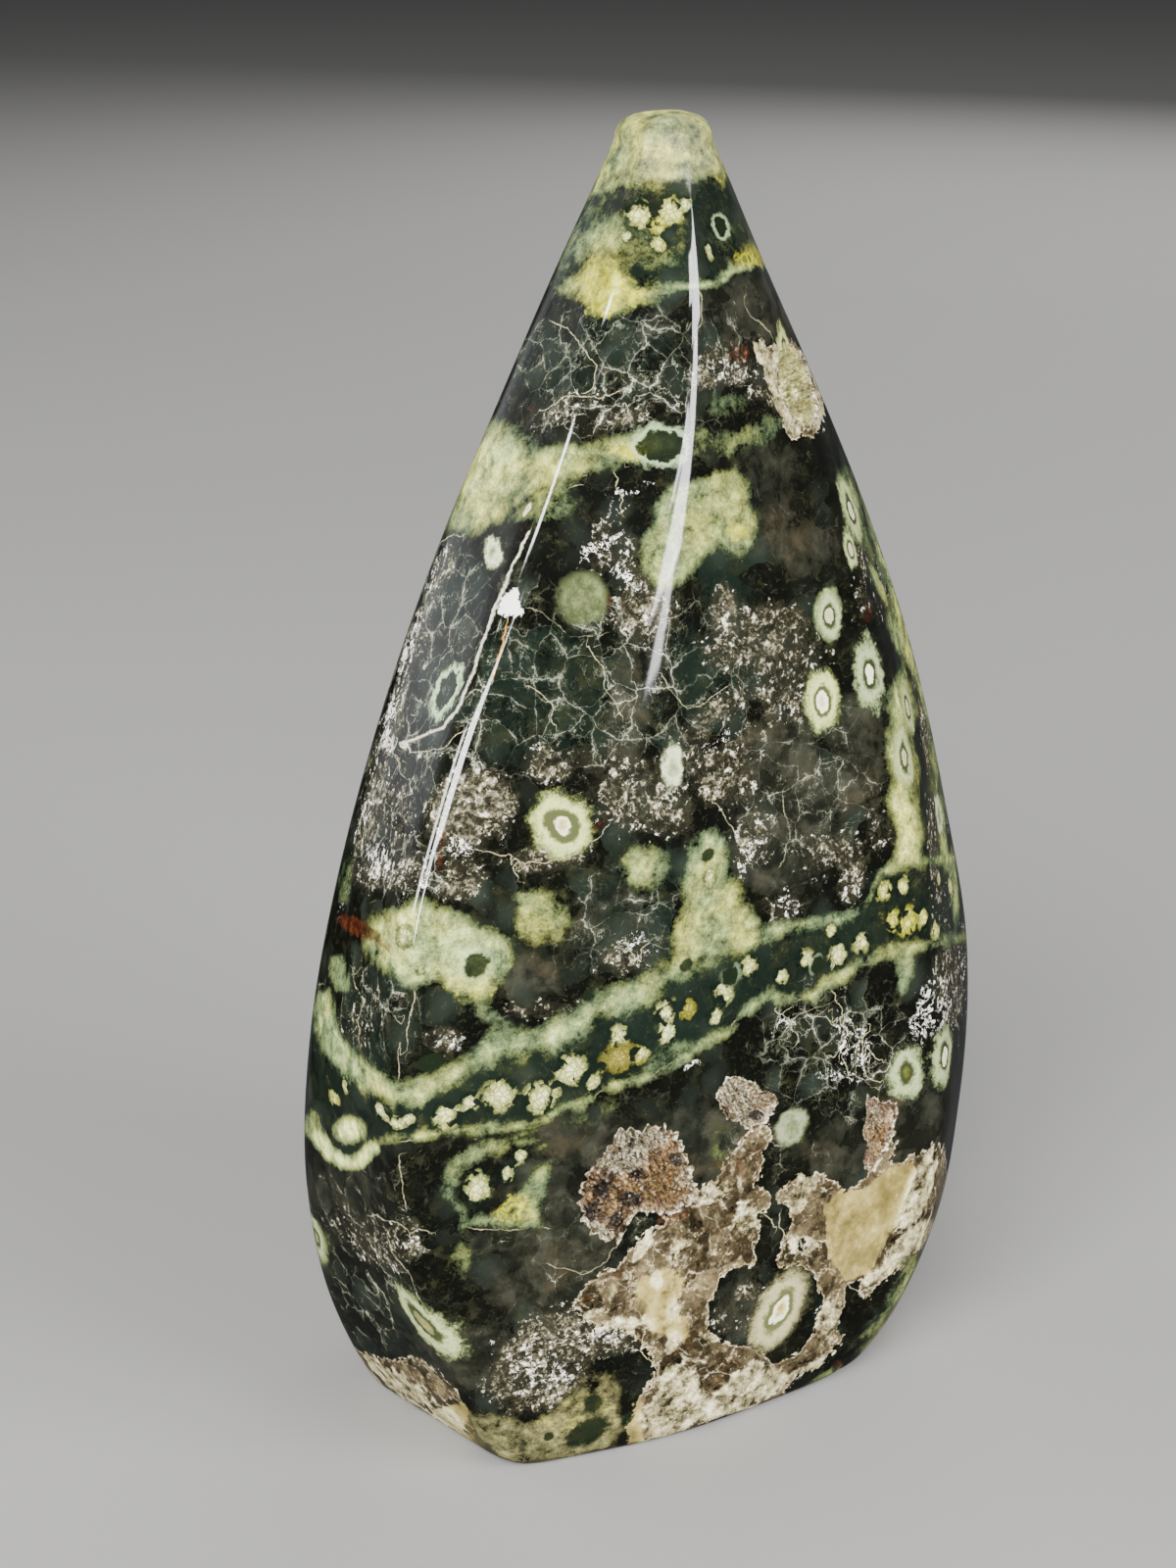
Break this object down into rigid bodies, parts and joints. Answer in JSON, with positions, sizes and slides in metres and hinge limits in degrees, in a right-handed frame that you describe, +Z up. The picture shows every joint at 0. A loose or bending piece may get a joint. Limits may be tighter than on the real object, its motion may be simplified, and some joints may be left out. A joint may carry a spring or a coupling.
{
  "type": "polished stone freeform",
  "caption": "Teardrop-shaped polished orbicular jasper with soft facet ridges, natural crystal-lined vugs and a flat sawn base it stands on.",
  "frame": {"origin": "middle of the bounding box's underside, on the plane the stone rests on", "axes": "+Z up to the tip; the broad front face looks towards -Y; the narrow side wall looks towards -X"},
  "size_m": [0.0804, 0.0439, 0.14],
  "materials": {
    "polished_jasper": "polished, mottled dark green, cream and smoky grey",
    "brown_quartz_crust": "rough sugary crystals",
    "pink_quartz_crust": "rough sugary crystals",
    "rusty_quartz_crust": "rough sugary crystals",
    "pale_quartz_crust": "rough sugary crystals"
  },
  "bodies": {
    "root": {"jasper_stone": "polished_jasper", "large_vug_crust": "brown_quartz_crust", "tooth_vug_crust": "pink_quartz_crust", "side_vug_crust": "rusty_quartz_crust", "shoulder_vug_crust": "pale_quartz_crust"}
  },
  "joints": []
}
